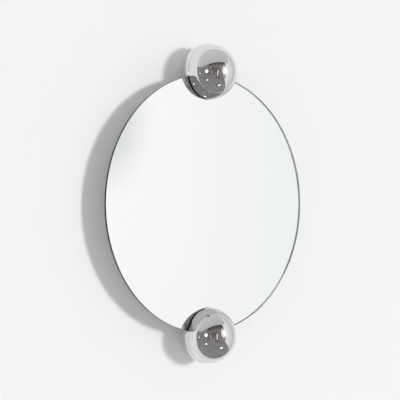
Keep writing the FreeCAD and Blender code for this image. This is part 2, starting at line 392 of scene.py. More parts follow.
@dataclass(frozen=True)
class Finish:
    """A finish of two tones, whose pattern also sets the roughness and the relief."""

    name: str
    base: Colour
    pale: Colour
    pattern: Pattern
    roughness: Place  # where its pattern is low and where it is high
    depth: float = 0.0  # of the relief
    metallic: float = 0.0
    sheen: float = 0.0
    coat: float = 0.0
    limits: Place = (0.3, 0.7)  # of the pattern, between which the tone changes
    rough_pattern: Optional[Pattern] = None  # where it isn't the tone's
    rough_limits: Place = (0.3, 0.7)
    relief_pattern: Optional[Pattern] = None  # where it isn't the tone's

    def build(self) -> Material:
        """Makes the material.

        Returns:
            The material.
        """
        graph = SurfaceGraph(self.name)
        low, high = self.roughness
        tone = graph.spread(graph.pattern(self.pattern), 0, 1, *self.limits)
        rough = graph.pattern(self.rough_pattern or self.pattern)
        graph.set(Base_Color=graph.blend(tone, self.base, self.pale), Metallic=self.metallic,
                  Roughness=low if low == high else graph.spread(rough, low, high,
                                                                 *self.rough_limits),
                  Sheen_Weight=self.sheen, Coat_Weight=self.coat)
        if self.depth:
            graph.relief(graph.pattern(self.relief_pattern or self.pattern), self.depth)
        return graph.material


@dataclass(frozen=True)
class FloatGlass:
    """Clear float glass, faintly green through its depth, with a finely ground edge and arrises."""

    sizes: GlassSizes = GlassSizes()
    arris_margin: float = 0.01 * MM
    edge_margin: float = 0.05 * MM
    tint: Colour = (0.985, 0.99, 0.985)
    # painted shade: the arrises pass almost no light, and the ground edge is partly the glass's own
    # green and partly painted shade
    arris_painted_shade: Colour = (0.03, 0.08, 0.07)
    edge_green_and_shade: Colour = (0.50, 0.66, 0.62)
    gloss_tint: Colour = (0.75, 1.0, 0.95)
    # painted shade: the rim's reflections are dimmed, so that the rim reads as a dark line
    rim_gloss_painted_shade: Colour = (0.12, 0.20, 0.18)
    absorbed: Colour = (0.15, 0.33, 0.25)
    density: float = 8.0
    refraction: float = 1.52
    wheel: Grain = Grain(700, 2, streaks=(1, 14, 1))
    ground: Place = (0.024, 0.08)  # roughness of the ground edge

    def build(self) -> Material:
        """Makes the material.

        Returns:
            The material.
        """
        graph = SurfaceGraph("clear float glass")
        axis_out = graph.vector("MULTIPLY", graph.place, (1.0, 0.0, 1.0))[0]
        radius = graph.vector("LENGTH", axis_out)["Value"]
        rim = graph.math("GREATER_THAN", radius, self.sizes.flat_radius + self.arris_margin)
        edge = graph.math("GREATER_THAN", radius, self.sizes.radius - self.edge_margin)
        # painted shade on the rim: its tint is partly the edge's own green and partly painted shade
        rim_green_and_shade = graph.blend(edge, self.arris_painted_shade, self.edge_green_and_shade)
        ground = graph.spread(graph.pattern(self.wheel), *self.ground)
        graph.set(Base_Color=graph.blend(rim, self.tint, rim_green_and_shade),
                  Specular_Tint=graph.blend(rim, self.gloss_tint, self.rim_gloss_painted_shade),
                  IOR=self.refraction, Transmission_Weight=1.0,
                  Roughness=graph.math("MULTIPLY", rim, ground))
        graph.feed(graph.output.inputs["Volume"], graph.add("ShaderNodeVolumeAbsorption", {
            "Color": self.absorbed, "Density": self.density}))
        return graph.material


FLOW, PAINT_GRAIN = Grain(160, 3, streaks=(1, 1, 0.12)), Grain(2200, 2)
NET, WRINKLE = Scrim(160.0, (0.04, 0.12)), Grain(34, 3)
FINISHES = {
    Slot.GLASS: FloatGlass(),
    # Chemically deposited, and seen only through the glass.
    Slot.SILVER: Finish("silver coat", (0.955, 0.957, 0.956), (0.962, 0.962, 0.958), Grain(5, 2),
                        (0.0, 0.0), metallic=1.0),
    # Curtain-coated mirror paint, with faint flow lines down the glass.
    Slot.PAINT: Finish("backing paint", (0.20, 0.215, 0.225), (0.25, 0.265, 0.275), FLOW,
                       (0.42, 0.58), 0.06 * MM, rough_pattern=PAINT_GRAIN,
                       relief_pattern=Overlay(FLOW, PAINT_GRAIN, 0.4)),
    # Pale adhesive film over a net of threads.
    Slot.FILM: Finish("safety film", (0.64, 0.66, 0.665), (0.79, 0.80, 0.795), NET, (0.24, 0.4),
                      0.09 * MM, coat=0.25, limits=(0.0, 1.25), rough_pattern=WRINKLE,
                      relief_pattern=Overlay(NET, WRINKLE, 1.0)),
    # Plate on spun steel: a clear mirror with the faintest haze and polishing waver.
    Slot.CHROME: Finish("polished chrome", (0.745, 0.75, 0.76), (0.785, 0.787, 0.792),
                        Grain(14, 4, 0.6), (0.012, 0.035), 0.02 * MM, metallic=1.0,
                        rough_limits=(0.4, 0.8), relief_pattern=Grain(90, 1)),
    # Plate with the lines of the belt that faced it.
    Slot.INNER_STEEL: Finish("brushed steel", (0.46, 0.465, 0.47), (0.56, 0.56, 0.56),
                             Grain(2600, 2, streaks=(0.04, 1, 1)), (0.28, 0.44), 0.02 * MM,
                             metallic=1.0),
    # Bright zinc plate, dulled in patches by handling.
    Slot.BOLT_STEEL: Finish("plated steel", (0.45, 0.455, 0.465), (0.54, 0.545, 0.55),
                            Grain(500, 4, 0.65), (0.42, 0.27), 0.02 * MM, metallic=1.0,
                            limits=(0.4, 0.7)),
    # Natural tube with fine lathe rings.
    Slot.NYLON: Finish("turned nylon", (0.74, 0.71, 0.63), (0.80, 0.78, 0.71),
                       Grain(3000, 1, streaks=(0.05, 1, 0.05)), (0.42, 0.56), 0.02 * MM),
    Slot.RUBBER: Finish("gasket rubber", (0.012, 0.012, 0.013), (0.022, 0.022, 0.023),
                        Grain(1800, 3), (0.55, 0.75), 0.04 * MM),
    Slot.FELT: Finish("wool felt", (0.13, 0.132, 0.138), (0.24, 0.24, 0.245),
                      Grain(1500, 4, 0.7), (0.95, 0.95), 0.2 * MM, sheen=0.4,
                      limits=(0.4, 0.65)),
    # Pressings with a soft spangle and a trace of blue passivate.
    Slot.ZINC: Finish("zinc plate", (0.56, 0.575, 0.60), (0.66, 0.665, 0.67), Spangle(420.0),
                      (0.26, 0.42), 0.03 * MM, metallic=1.0, limits=(0.0, 1 / 1.4),
                      rough_pattern=Grain(60, 3)),
}


class FinishRack(dict):
    """Every finish of the mirror by its slot, made when it is first asked for."""

    def __missing__(self, slot: Slot) -> Material:
        """Makes the material of a slot."""
        return self.setdefault(slot, FINISHES[slot].build())

    def dress_node(self, node: str, slot: Slot) -> None:
        """Gives a CAD node its finish.

        Args:
            node: Name of the node.
            slot: The record's slot.
        """
        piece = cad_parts[node]
        if not piece.material_slots:
            piece.data.materials.append(None)
        for holder in piece.material_slots:
            holder.material = self[slot]
        LOG.info("%s: dressed in %s", node, slot.value)


# ---- meshes

def even(start: float, stop: float, steps: int) -> list[float]:
    """Evenly spaced values from start to stop, both included, with that many steps between."""
    return [start + (stop - start) * i / steps for i in range(steps + 1)]


def meridian(radius: float, start_depth: float, stop_depth: float, steps: int) -> Outline:
    """Points of (radius from the axis, depth) on a sphere, evenly spaced by angle."""
    angles = even(math.acos(-start_depth / radius), math.acos(-stop_depth / radius), steps)
    return [(radius * math.sin(a), -radius * math.cos(a)) for a in angles]


def close_up(piece: Piece) -> Piece:
    """Merges doubles, points the faces outward and smooths all but the sharp edges.

    Args:
        piece: Object whose mesh is finished.

    Returns:
        The same object.
    """
    skin = bmesh.new()
    skin.from_mesh(piece.data)
    bmesh.ops.remove_doubles(skin, verts=skin.verts, dist=WELD)
    bmesh.ops.recalc_face_normals(skin, faces=skin.faces)
    skin.to_mesh(piece.data)
    skin.free()
    piece.data.shade_smooth()
    piece.data.set_sharp_from_angle(angle=CREASE)
    return piece


def new_piece(name: str, points: Iterable[Point], faces: Iterable[Sequence[int]] = (),
              edges: Iterable[tuple[int, int]] = (), finish: Optional[Material] = None) -> Piece:
    """Makes an object at the origin from points already in place.

    Args:
        name: Name of the object.
        points: Corners in the row frame.
        faces: Corner numbers of each face.
        edges: Corner numbers of each loose edge.
        finish: Its material.

    Returns:
        The object, linked to the scene.
    """
    mesh = bpy.data.meshes.new(name)
    mesh.from_pydata(list(points), list(edges), list(faces))
    if finish:
        mesh.materials.append(finish)
    piece = bpy.data.objects.new(name, mesh)
    bpy.context.scene.collection.objects.link(piece)
    return piece


class GeometryGraph(Graph):
    """A Geometry Nodes tree with named inputs that ends in Realize Instances and Set Material."""

    def __init__(self, name: str, inputs: dict[str, str]) -> None:
        """Starts the tree.

        Args:
            name: Name of the tree.
            inputs: Socket type by name, after the geometry and before the finish.
        """
        super().__init__(bpy.data.node_groups.new(name, "GeometryNodeTree"))
        face = self.tree.interface
        kinds = {"Geometry": "NodeSocketGeometry", **inputs, "Finish": "NodeSocketMaterial"}
        self.keys = {
            label: face.new_socket(name=label, in_out="INPUT", socket_type=kind).identifier
            for label, kind in kinds.items()}
        face.new_socket(name="Geometry", in_out="OUTPUT", socket_type="NodeSocketGeometry")
        self.given = self.add("NodeGroupInput").outputs

    def finish(self, shape: Node) -> None:
        """Ends the tree.

        Args:
            shape: Node whose first output is the finished geometry.
        """
        solid = self.add("GeometryNodeRealizeInstances", {"Geometry": shape})
        dressed = self.add("GeometryNodeSetMaterial", {
            "Geometry": solid, "Material": self.given["Finish"]})
        self.add("NodeGroupOutput", {0: dressed})

    def apply(self, piece: Piece, **values: object) -> Piece:
        """Runs the tree on a piece and keeps the result as a plain mesh.

        Args:
            piece: Object that holds the input geometry.
            values: Inputs by name; an underscore stands for a space.

        Returns:
            The same object with its new mesh.
        """
        modifier = piece.modifiers.new(self.tree.name, "NODES")
        modifier.node_group = self.tree
        for name, value in values.items():
            modifier[self.keys[name.replace("_", " ")]] = value
        graph = bpy.context.evaluated_depsgraph_get()
        mesh = bpy.data.meshes.new_from_object(piece.evaluated_get(graph), depsgraph=graph)
        piece.modifiers.clear()
        piece.data = mesh
        return close_up(piece)


class Lathe(GeometryGraph):
    """Turns an outline of (radius, depth) points about an axis along Y."""

    def __init__(self) -> None:
        """Builds the tree."""
        super().__init__("lathe", {
            "Segments": COUNT, "Axis Depth": NUMBER, "Axis Height": NUMBER, "Weld": NUMBER})
        count = self.add("GeometryNodeAttributeDomainSize", {"Geometry": self.given["Geometry"]})
        rows = count.outputs["Point Count"]
        grid = self.add("GeometryNodeMeshGrid", {
            "Size X": 1.0, "Size Y": 1.0, "Vertices X": rows,
            "Vertices Y": self.math("ADD", self.given["Segments"], 1)})
        here = self.add("GeometryNodeInputPosition").outputs[0]
        square = self.split(here)
        row = self.math("ROUND", self.math("MULTIPLY", self.math("ADD", square["X"], 0.5),
                                           self.math("SUBTRACT", rows, 1)))
        turn = self.math("MULTIPLY", self.math("ADD", square["Y"], 0.5), math.tau)
        sample = self.add("GeometryNodeSampleIndex", {
            "Geometry": self.given["Geometry"], "Value": here, "Index": row},
            data_type="FLOAT_VECTOR", domain="POINT")
        outline = self.split(sample.outputs[0])
        sideways, upward = (self.math("MULTIPLY", outline["X"], self.math(wave, turn))
                            for wave in ("SINE", "COSINE"))
        bent = self.add("GeometryNodeSetPosition", {
            "Geometry": grid,
            "Position": self.point(X=sideways,
                                   Y=self.math("ADD", outline["Y"], self.given["Axis Depth"]),
                                   Z=self.math("ADD", upward, self.given["Axis Height"]))})
        self.finish(self.add("GeometryNodeMergeByDistance", {
            "Geometry": bent, "Distance": self.given["Weld"]}))

    def turn(self, name: str, outline: Outline, place: Place, finish: Material,
             segments: int) -> Piece:
        """Turns one solid.

        Args:
            name: Name of the piece.
            outline: Points of (radius, depth), from axis to axis or back to the first point.
            place: Y of the outline's zero depth and Z of the axis.
            finish: Material of the piece.
            segments: Sides round the axis.

        Returns:
            The piece.
        """
        blank = new_piece(name, [(radius, along, 0.0) for radius, along in outline],
                          edges=[(i, i + 1) for i in range(len(outline) - 1)])
        return self.apply(blank, Segments=segments, Axis_Depth=place[0], Axis_Height=place[1],
                          Weld=LATHE_WELD, Finish=finish)


class RidgeWheel(GeometryGraph):
    """Adds a ring of straight ridges round an axis along Y, as knurling on a bolt's head."""

    def __init__(self) -> None:
        """Builds the tree."""
        super().__init__("ridge wheel", {
            "Count": COUNT, "Radius": NUMBER, "Ridge Width": NUMBER, "Ridge Length": NUMBER,
            "Axis Depth": NUMBER, "Axis Height": NUMBER})
        given = self.given
        circle = self.add("GeometryNodeMeshCircle", {
            "Vertices": given["Count"], "Radius": given["Radius"]})
        ridge = self.add("GeometryNodeMeshCone", {
            "Vertices": 4, "Radius Top": given["Ridge Width"], "Depth": given["Ridge Length"],
            "Radius Bottom": given["Ridge Width"]}, fill_type="NGON")
        index = self.add("GeometryNodeInputIndex").outputs[0]
        angle = self.math("DIVIDE", self.math("MULTIPLY", index, math.tau), given["Count"])
        ring = self.add("GeometryNodeInstanceOnPoints", {
            "Points": circle, "Instance": ridge, "Rotation": self.point(Z=angle)})
        self.finish(self.add("GeometryNodeTransform", {
            "Geometry": ring, "Rotation": (math.radians(90), 0.0, 0.0),
            "Translation": self.point(Y=given["Axis Depth"], Z=given["Axis Height"])}))


class FeltNap(GeometryGraph):
    """Scatters short wool fibres over the sides of a felt ring and keeps the ring under them."""

    lean = 0.25  # radians out of the ring's plane
    flat_from = 0.5  # Y of the normal from which a face isn't a side

    def __init__(self) -> None:
        """Builds the tree."""
        super().__init__("felt nap", {
            "Density": NUMBER, "Fibre Length": NUMBER, "Fibre Thickness": NUMBER, "Seed": COUNT})
        given = self.given
        normal = self.split(self.add("GeometryNodeInputNormal").outputs[0])
        side = self.math("LESS_THAN", self.math("ABSOLUTE", normal["Y"]), self.flat_from)
        roots = self.add("GeometryNodeDistributePointsOnFaces", {
            "Mesh": given["Geometry"], "Density": given["Density"], "Seed": given["Seed"],
            "Selection": side})
        fibre = self.add("GeometryNodeMeshCone", {
            "Vertices": 3, "Radius Top": 0.0, "Radius Bottom": given["Fibre Thickness"],
            "Depth": given["Fibre Length"]}, fill_type="NGON")
        lay = self.add("FunctionNodeRandomValue", {
            0: (0.0, -math.pi, -self.lean), 1: (0.0, math.pi, self.lean), "Seed": given["Seed"]},
            data_type="FLOAT_VECTOR")
        nap = self.add("GeometryNodeInstanceOnPoints", {
            "Points": roots, "Instance": fibre, "Rotation": lay})
        both = self.add("GeometryNodeJoinGeometry", {0: nap})
        self.feed(both.inputs[0], given["Geometry"])
        self.finish(both)


@dataclass
class PolarShell:
    """Rows of points round an axis along Y, joined into a skin."""

    depth: float
    height: float
    points: list[Point] = field(default_factory=list)
    faces: list[tuple[int, ...]] = field(default_factory=list)

    def row(self, radius: Union[float, list[float]], along: float,
            angles: Sequence[float]) -> list[int]:
        """Adds a row of points at one depth.

        Args:
            radius: Distance from the axis, of all the points or of each.
            along: Depth from the axis's zero.
            angles: Angles from straight up, in radians.

        Returns:
            The new points' numbers.
        """
        start = len(self.points)
        radii = radius if isinstance(radius, list) else [radius] * len(angles)
        self.points += [(r * math.sin(a), self.depth + along, self.height + r * math.cos(a))
                        for r, a in zip(radii, angles)]
        return list(range(start, len(self.points)))

    def join(self, first: Sequence[int], second: Sequence[int], closed: bool = False) -> None:
        """Joins two rows with faces.

        Args:
            first: One row's points.
            second: The next row's points, as many.
            closed: True if the rows go all the way round.
        """
        count = len(first)
        for i in range(count if closed else count - 1):
            k = (i + 1) % count
            self.faces.append((first[i], first[k], second[k], second[i]))

    def cap(self, row: Sequence[int], along: float) -> None:
        """Closes a full row with a fan to a point on the axis.

        Args:
            row: The row's points.
            along: Depth of the point.
        """
        hub = len(self.points)
        self.points.append((0.0, self.depth + along, self.height))
        self.faces += [(corner, row[(i + 1) % len(row)], hub) for i, corner in enumerate(row)]

    def piece(self, name: str, finish: Material) -> Piece:
        """Makes the skin an object."""
        return close_up(new_piece(name, self.points, self.faces, finish=finish))


# ---- the mirror's sub-assemblies

def announce(piece: Piece, slot: Slot, *nodes: str) -> None:
    """Rides a finished piece on the mirror, hides the CAD nodes that it replaces, and logs it.

    Args:
        piece: The piece.
        slot: The record's slot; not used.
        nodes: CAD nodes that it replaces.
    """
    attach(piece, MIRROR_BODY)
    if nodes:
        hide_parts(*nodes)
    LOG.info("%s: %d faces on %s", piece.name, len(piece.data.polygons), MIRROR_BODY)


@dataclass
class MirrorDisc:
    """The glass disc with its silver, paint and safety film."""

    lathe: Lathe
    rack: FinishRack
    sizes: GlassSizes = field(default_factory=GlassSizes)

    def middle(self) -> float:
        """Y of the glass's middle plane."""
        low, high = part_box("mirror_glass")
        return (low.y + high.y) / 2

    def glass_outline(self) -> Outline:
        """Half section of the glass, with its two arrises.

        Returns:
            The outline.
        """
        half, rim, inner = self.sizes.half_thickness, self.sizes.radius, self.sizes.flat_radius
        step = half - self.sizes.arris
        return [(0.0, -half), (inner * 0.5, -half), (inner, -half), (rim, -step), (rim, step),
                (inner, half), (inner * 0.5, half), (0.0, half)]

    def layer_outline(self, margin: float, front: float, back: float) -> Outline:
        """Half section of a flat layer, that far inside the arris, from its front to its back."""
        radius = self.sizes.flat_radius - margin
        return [(share * radius, along) for along, shares in
                ((front, (0.0, 0.5, 1.0)), (back, (1.0, 0.5, 0.0))) for share in shares]

    def build(self) -> None:
        """Builds the four discs and puts them in place of their nodes."""
        s = self.sizes
        silver_back = s.half_thickness + s.silver
        paint_back = silver_back + s.paint
        silver = self.layer_outline(s.coat_margin, s.half_thickness - s.silver_bite, silver_back)
        paint = self.layer_outline(s.coat_margin, silver_back, paint_back)
        film = self.layer_outline(s.film_margin, paint_back, paint_back + s.film)
        for name, outline, slot, node in (
                ("glass_disc", self.glass_outline(), Slot.GLASS, "mirror_glass"),
                ("silver_disc", silver, Slot.SILVER, "silver_layer"),
                ("paint_disc", paint, Slot.PAINT, "backing_paint"),
                ("film_disc", film, Slot.FILM, "safety_film")):
            piece = self.lathe.turn(name, outline, (self.middle(), 0.0), self.rack[slot],
                                    s.segments)
            announce(piece, slot, node)


@dataclass
class ClampBolt:
    """The bolt of one clamp: threaded shank, chamfered head, hexagon socket and knurling."""

    end: End
    knurl: RidgeWheel
    rack: FinishRack
    place: Place
    sizes: BoltSizes = field(default_factory=BoltSizes)

    def rows(self, angles: Sequence[float]) -> list[tuple[Union[float, list[float]], float]]:
        """Radius and depth of every row behind the tip, from the thread into the socket.

        Args:
            angles: Angles of the points of a row.

        Returns:
            Pairs of one radius, or one for each angle, and depth.
        """
        s = self.sizes
        thread_end, back = s.tip + s.thread_length, s.seat + s.head_height
        flats = [s.socket_radius(a) for a in angles]
        rows = [([s.thread_radius(a, along) for a in angles], along)
                for along in even(s.tip + s.chamfer, thread_end, s.thread_rows)]
        return rows + [
            (s.shank, thread_end + s.chamfer), (s.shank, s.seat), (s.head - s.edge, s.seat),
            (s.head, s.seat + s.edge), (s.head, back - s.chamfer),
            (s.head - s.shoulder[0], back - s.shoulder[1]), (s.head - s.chamfer, back),
            ([flat + s.edge for flat in flats], back), (flats, back - s.edge),
            (flats, back - s.socket_depth)]

    def build(self) -> None:
        """Builds the bolt and its knurling."""
        s, finish = self.sizes, self.rack[Slot.BOLT_STEEL]
        angles = even(0, math.tau, s.columns)[:-1]
        shell = PolarShell(*self.place)
        previous = shell.row(s.shank - s.tip_step, s.tip, angles)
        shell.cap(previous, s.tip)
        for radius, along in self.rows(angles):
            row = shell.row(radius, along, angles)
            shell.join(previous, row, closed=True)
            previous = row
        shell.cap(previous, s.seat + s.head_height - s.socket_depth - s.socket_cone)
        bolt = shell.piece(f"{self.end.prefix}_socket_bolt", finish)
        announce(bolt, Slot.BOLT_STEEL, f"{self.end.prefix}_clamp_bolt")
        ridges = new_piece(f"{self.end.prefix}_bolt_knurl", [(0.0, 0.0, 0.0)])
        self.knurl.apply(ridges, Count=s.ridges, Radius=s.head - s.ridge_sunk,
                         Ridge_Width=s.ridge, Ridge_Length=s.head_height - s.ridge_ends,
                         Axis_Depth=self.place[0] + s.seat + s.head_height / 2,
                         Axis_Height=self.place[1], Finish=finish)
        announce(ridges, Slot.BOLT_STEEL)


@dataclass
class BallClamp:
    """One chrome ball: front cap, slotted rear cup and what is inside them."""

    end: End
    lathe: Lathe
    knurl: RidgeWheel
    nap: FeltNap
    rack: FinishRack
    glass_middle: float
    sizes: ClampSizes = field(default_factory=ClampSizes)
    segments: int = 192
    cap_rows: Place = (72, 28)  # outside, inside
    band: int = 112  # steps of the cup's rim past the glass
    slot: int = 80  # steps of the cup's ledge behind the glass
    rim_rows: int = 7
    bowl_rows: Place = (52, 24)  # outside, inside
    felt_segments: int = 144
    fibres: float = 3.0e6  # to the square metre
    fibre: Place = (0.5 * MM, 0.018 * MM)  # length, thickness

    def name(self, word: str) -> str:
        """A piece's name at this end."""
        return f"{self.end.prefix}_{word}"

    def height(self) -> float:
        """Z of the ball's centre."""
        low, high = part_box(self.name("front_cap"))
        return (low.z + high.z) / 2

    def place(self) -> Place:
        """Y of the zero depth and Z of the ball's axis."""
        return self.glass_middle, self.height()

    def build(self) -> None:
        """Builds and dresses every piece of the clamp."""
        self.build_cap()
        self.build_cup()
        ClampBolt(self.end, self.knurl, self.rack, self.place()).build()
        self.build_felt()
        for word, slot in (("clamp_plate", Slot.INNER_STEEL), ("cup_bulkhead", Slot.INNER_STEEL),
                           ("hanger_plate", Slot.INNER_STEEL), ("clamp_washer", Slot.BOLT_STEEL),
                           ("edge_sleeve", Slot.NYLON), ("front_gasket", Slot.RUBBER),
                           ("rear_gasket", Slot.RUBBER)):
            self.rack.dress_node(self.name(word), slot)

    def build_cap(self) -> None:
        """Turns the front cap: dome, bevelled rim, register and hollow."""
        s = self.sizes
        rim = math.sqrt(s.ball ** 2 - s.cap_rim ** 2)
        register = math.sqrt(s.hollow ** 2 - s.plate_front ** 2) + s.register_step
        outline = meridian(s.ball, -s.ball, s.cap_rim - s.bevel, self.cap_rows[0])
        outline[0] = (0.0, -s.ball)
        outline += [(rim - s.bevel, s.cap_rim), (register, s.cap_rim), (register, s.plate_front)]
        outline += meridian(s.hollow, s.plate_front, -s.hollow, self.cap_rows[1])
        outline[-1] = (0.0, -s.hollow)
        piece = self.lathe.turn(self.name("ball_cap"), outline, self.place(),
                                self.rack[Slot.CHROME], self.segments)
        announce(piece, Slot.CHROME, self.name("front_cap"))

    def slot_edge(self, radius: float) -> float:
        """Angle from the outward direction at which the glass slot cuts a given radius."""
        offset = abs(self.height())
        return math.acos((self.sizes.slot_radius ** 2 - radius ** 2 - offset ** 2)
                         / (2 * offset * radius))

    def band_angles(self, radius: float) -> list[float]:
        """Angles over the outward side, from one edge of the glass slot to the other."""
        edge = self.slot_edge(radius)
        return [self.end.outward + a for a in even(-edge, edge, self.band)]

    def full_angles(self, radius: float) -> list[float]:
        """Angles all the way round, of which the first are the band's own at this radius."""
        behind = even(edge := self.slot_edge(radius), math.tau - edge, self.slot)[1:-1]
        return self.band_angles(radius) + [self.end.outward + a for a in behind]

    def build_cup(self) -> None:
        """Builds the rear cup, whose rim steps back round the glass."""
        s = self.sizes
        ledge = s.bulkhead_front
        rim = math.sqrt(s.ball ** 2 - s.cup_rim ** 2)
        outer_ledge = math.sqrt(s.ball ** 2 - ledge ** 2)
        register = math.sqrt(s.hollow ** 2 - s.bulkhead_back ** 2) + s.register_step
        shell = PolarShell(*self.place())
        outer = [(rim - s.bevel, s.cup_rim)]
        outer += meridian(s.ball, s.cup_rim + s.bevel, ledge, self.rim_rows)
        inner = [(register, along) for _, along in outer]
        bands = [[shell.row(r, y, self.band_angles(r)) for r, y in side[:-1]]
                 for side in (outer, inner)]
        angles = [self.full_angles(radius) for radius in (outer_ledge, register)]
        rings = [shell.row(outer_ledge, ledge, angles[0]), shell.row(register, ledge, angles[1])]
        for rows, ring in zip(bands, rings):
            rows.append(ring[:self.band + 1])
        for rows in bands:
            for first, second in zip(rows, rows[1:]):
                shell.join(first, second)
        shell.join(bands[0][0], bands[1][0])
        for side in (0, -1):
            shell.join(*([row[side] for row in rows] for rows in bands))
        shell.join(*(ring[self.band:] + ring[:1] for ring in rings))
        skin = meridian(s.ball, ledge, s.mouth_depth, self.bowl_rows[0])[1:]
        skin += meridian(s.hollow, s.mouth_depth, s.bulkhead_back, self.bowl_rows[1])
        skin += [(register, s.bulkhead_back)]
        previous = rings[0]
        for radius, along in skin:
            row = shell.row(radius, along, angles[0] if along > s.bulkhead_back else angles[1])
            shell.join(previous, row, closed=True)
            previous = row
        shell.join(previous, rings[1], closed=True)
        piece = shell.piece(self.name("ball_cup"), self.rack[Slot.CHROME])
        announce(piece, Slot.CHROME, self.name("rear_cup"))

    def build_felt(self) -> None:
        """Builds the felt ring on the cup's mouth, with its nap."""
        s, finish = self.sizes, self.rack[Slot.FELT]
        outer = math.sqrt(s.ball ** 2 - s.mouth_depth ** 2) - s.felt_inset
        inner = s.mouth_radius + s.felt_inset
        front, back, soft = s.mouth_depth, s.mouth_depth + s.felt, s.felt_round
        outline = [(outer, front), (outer, back - soft), (outer - soft, back), (inner + soft, back),
                   (inner, back - soft), (inner, front), (outer, front)]
        ring = self.lathe.turn(self.name("felt_pad"), outline, self.place(), finish,
                               self.felt_segments)
        self.nap.apply(ring, Density=self.fibres, Fibre_Length=self.fibre[0],
                       Fibre_Thickness=self.fibre[1], Seed=self.end.seed, Finish=finish)
        announce(ring, Slot.FELT, self.name("felt_ring"))


@dataclass
class WallFixings:
    """The two pressed wall plates."""

    rack: FinishRack

    def build(self) -> None:
        """Dresses the wall plates."""
        for end in End:
            self.rack.dress_node(f"{end.prefix}_wall_plate", Slot.ZINC)


# ---- studio

def aim(azimuth: float, elevation: float) -> Vector:
    """Direction away from the wall, in degrees to the right of its normal and above level."""
    a, e = math.radians(azimuth), math.radians(elevation)
    return Vector((math.sin(a) * math.cos(e), -math.cos(a) * math.cos(e), math.sin(e)))


def upright(start: Place, stop: Place, low: float, top: float) -> list[Point]:
    """Corners of a standing plane over a line between two places."""
    return [(*start, low), (*stop, low), (*stop, top), (*start, top)]


def level(height: float, *places: Place) -> list[Point]:
    """Corners of a level plane."""
    return [(*place, height) for place in places]


def hide(piece: Piece, *rays: str) -> None:
    """Leaves a piece of the stage or a lamp out of the sight of some kinds of ray."""
    for ray in rays:
        setattr(piece, f"visible_{ray}", False)


@dataclass(frozen=True)
class Fade:
    """Two tones and the places along an axis where they are reached."""

    first: Colour
    second: Colour
    start: float
    stop: float
    axis: str = "Z"

    def tone(self, graph: MaterialGraph) -> Socket:
        """Adds the colour of each place."""
        along = graph.split(graph.place)[self.axis]
        return graph.blend(graph.spread(along, 0.0, 1.0, self.start, self.stop), self.first,
                           self.second)


@dataclass(frozen=True)
class Shade:
    """A soft dark patch: its middle, how far it reaches and how dark it is there."""

    centre: Point
    reach: float
    depth: float
    fall: float = 1.5

    def over(self, graph: MaterialGraph, tone: Socket) -> Socket:
        """Darkens a colour.

        Args:
            graph: Graph of the flat.
            tone: The colour.

        Returns:
            The darker colour.
        """
        away = graph.vector("DISTANCE", graph.place, self.centre)["Value"]
        near = graph.math("POWER", graph.spread(away, 1.0, 0.0, 0.0, self.reach), self.fall)
        return graph.blend(graph.math("MULTIPLY", near, self.depth), tone, BLACK)


@dataclass(frozen=True)
class Flat:
    """A studio flat that only shines into reflections: one tone in metal, one in the mirror."""

    name: str
    corners: list[Point]
    metal: Fade
    mirror: Fade
    stripes: float = 0.0
    shade: Optional[Shade] = None
    mottle: tuple[float, ...] = (2.3, 3, 0.7)  # as Graph.noise takes it
    mottle_streaks: Point = (1, 1, 0.35)
    mottle_limits: Place = (0.42, 0.6)

    def build(self) -> None:
        """Makes the flat, out of sight of the camera and of diffuse light."""
        piece = new_piece(self.name, self.corners, [(0, 1, 2, 3)], finish=self.material())
        hide(piece, "camera", "diffuse", "shadow")

    def material(self) -> Material:
        """Makes the flat's shining material.

        Returns:
            The material.
        """
        graph = MaterialGraph(self.name)
        metal, mirror = self.metal.tone(graph), self.mirror.tone(graph)
        if self.stripes:
            shapes = graph.noise(graph.stretched(graph.place, self.mottle_streaks), *self.mottle)
            dimmed = graph.blend(graph.spread(shapes, 0, 1, *self.mottle_limits), BLACK, metal)
            metal = graph.blend(self.stripes, metal, dimmed)
        if self.shade:
            mirror = self.shade.over(graph, mirror)
        tone = graph.blend(graph.in_mirror(), metal, mirror)
        return graph.show(graph.add("ShaderNodeEmission", {"Color": tone, "Strength": 1.0}))


@dataclass(frozen=True)
class Plane:
    """A stage plane that shows only from its front, and not to what touches it."""

    name: str
    corners: list[Point]
    colour: Colour
    contact: float
    in_reflections: bool = True

    def build(self) -> None:
        """Makes the plane."""
        graph = MaterialGraph(self.name)
        behind = graph.add("ShaderNodeNewGeometry").outputs["Backfacing"]
        path = graph.add("ShaderNodeLightPath").outputs
        direct = graph.math("LESS_THAN", path["Diffuse Depth"], UNDER_ONE)
        shadow = graph.math("MULTIPLY", path["Is Shadow Ray"], direct)
        touching = graph.math("LESS_THAN", path["Ray Length"], self.contact)
        unseen = graph.math("MAXIMUM", graph.math("MAXIMUM", behind, shadow), touching)
        paint = graph.add("ShaderNodeBsdfDiffuse", {"Color": self.colour})
        clear = graph.add("ShaderNodeBsdfTransparent")
        piece = new_piece(self.name, self.corners, [(0, 1, 2, 3)],
                          finish=graph.show(graph.layered(unseen, paint, clear)))
        if not self.in_reflections:
            hide(piece, "glossy", "transmission")


@dataclass(frozen=True)
class Lamp:
    """A broad far lamp, so that its light is as even on the wall as on the mirror."""

    name: str
    direction: Vector
    spread: float  # degrees across, as seen from the mirror
    strength: float

    def build(self) -> None:
        """Makes the lamp, unseen in reflections."""
        data = bpy.data.lights.new(self.name, "SUN")
        data.angle = math.radians(self.spread)
        data.energy = self.strength
        lamp = bpy.data.objects.new(self.name, data)
        lamp.rotation_mode = "QUATERNION"
        lamp.rotation_quaternion = self.direction.to_track_quat("Z", "Y")
        hide(lamp, "glossy", "transmission", "camera")
        bpy.context.scene.collection.objects.link(lamp)


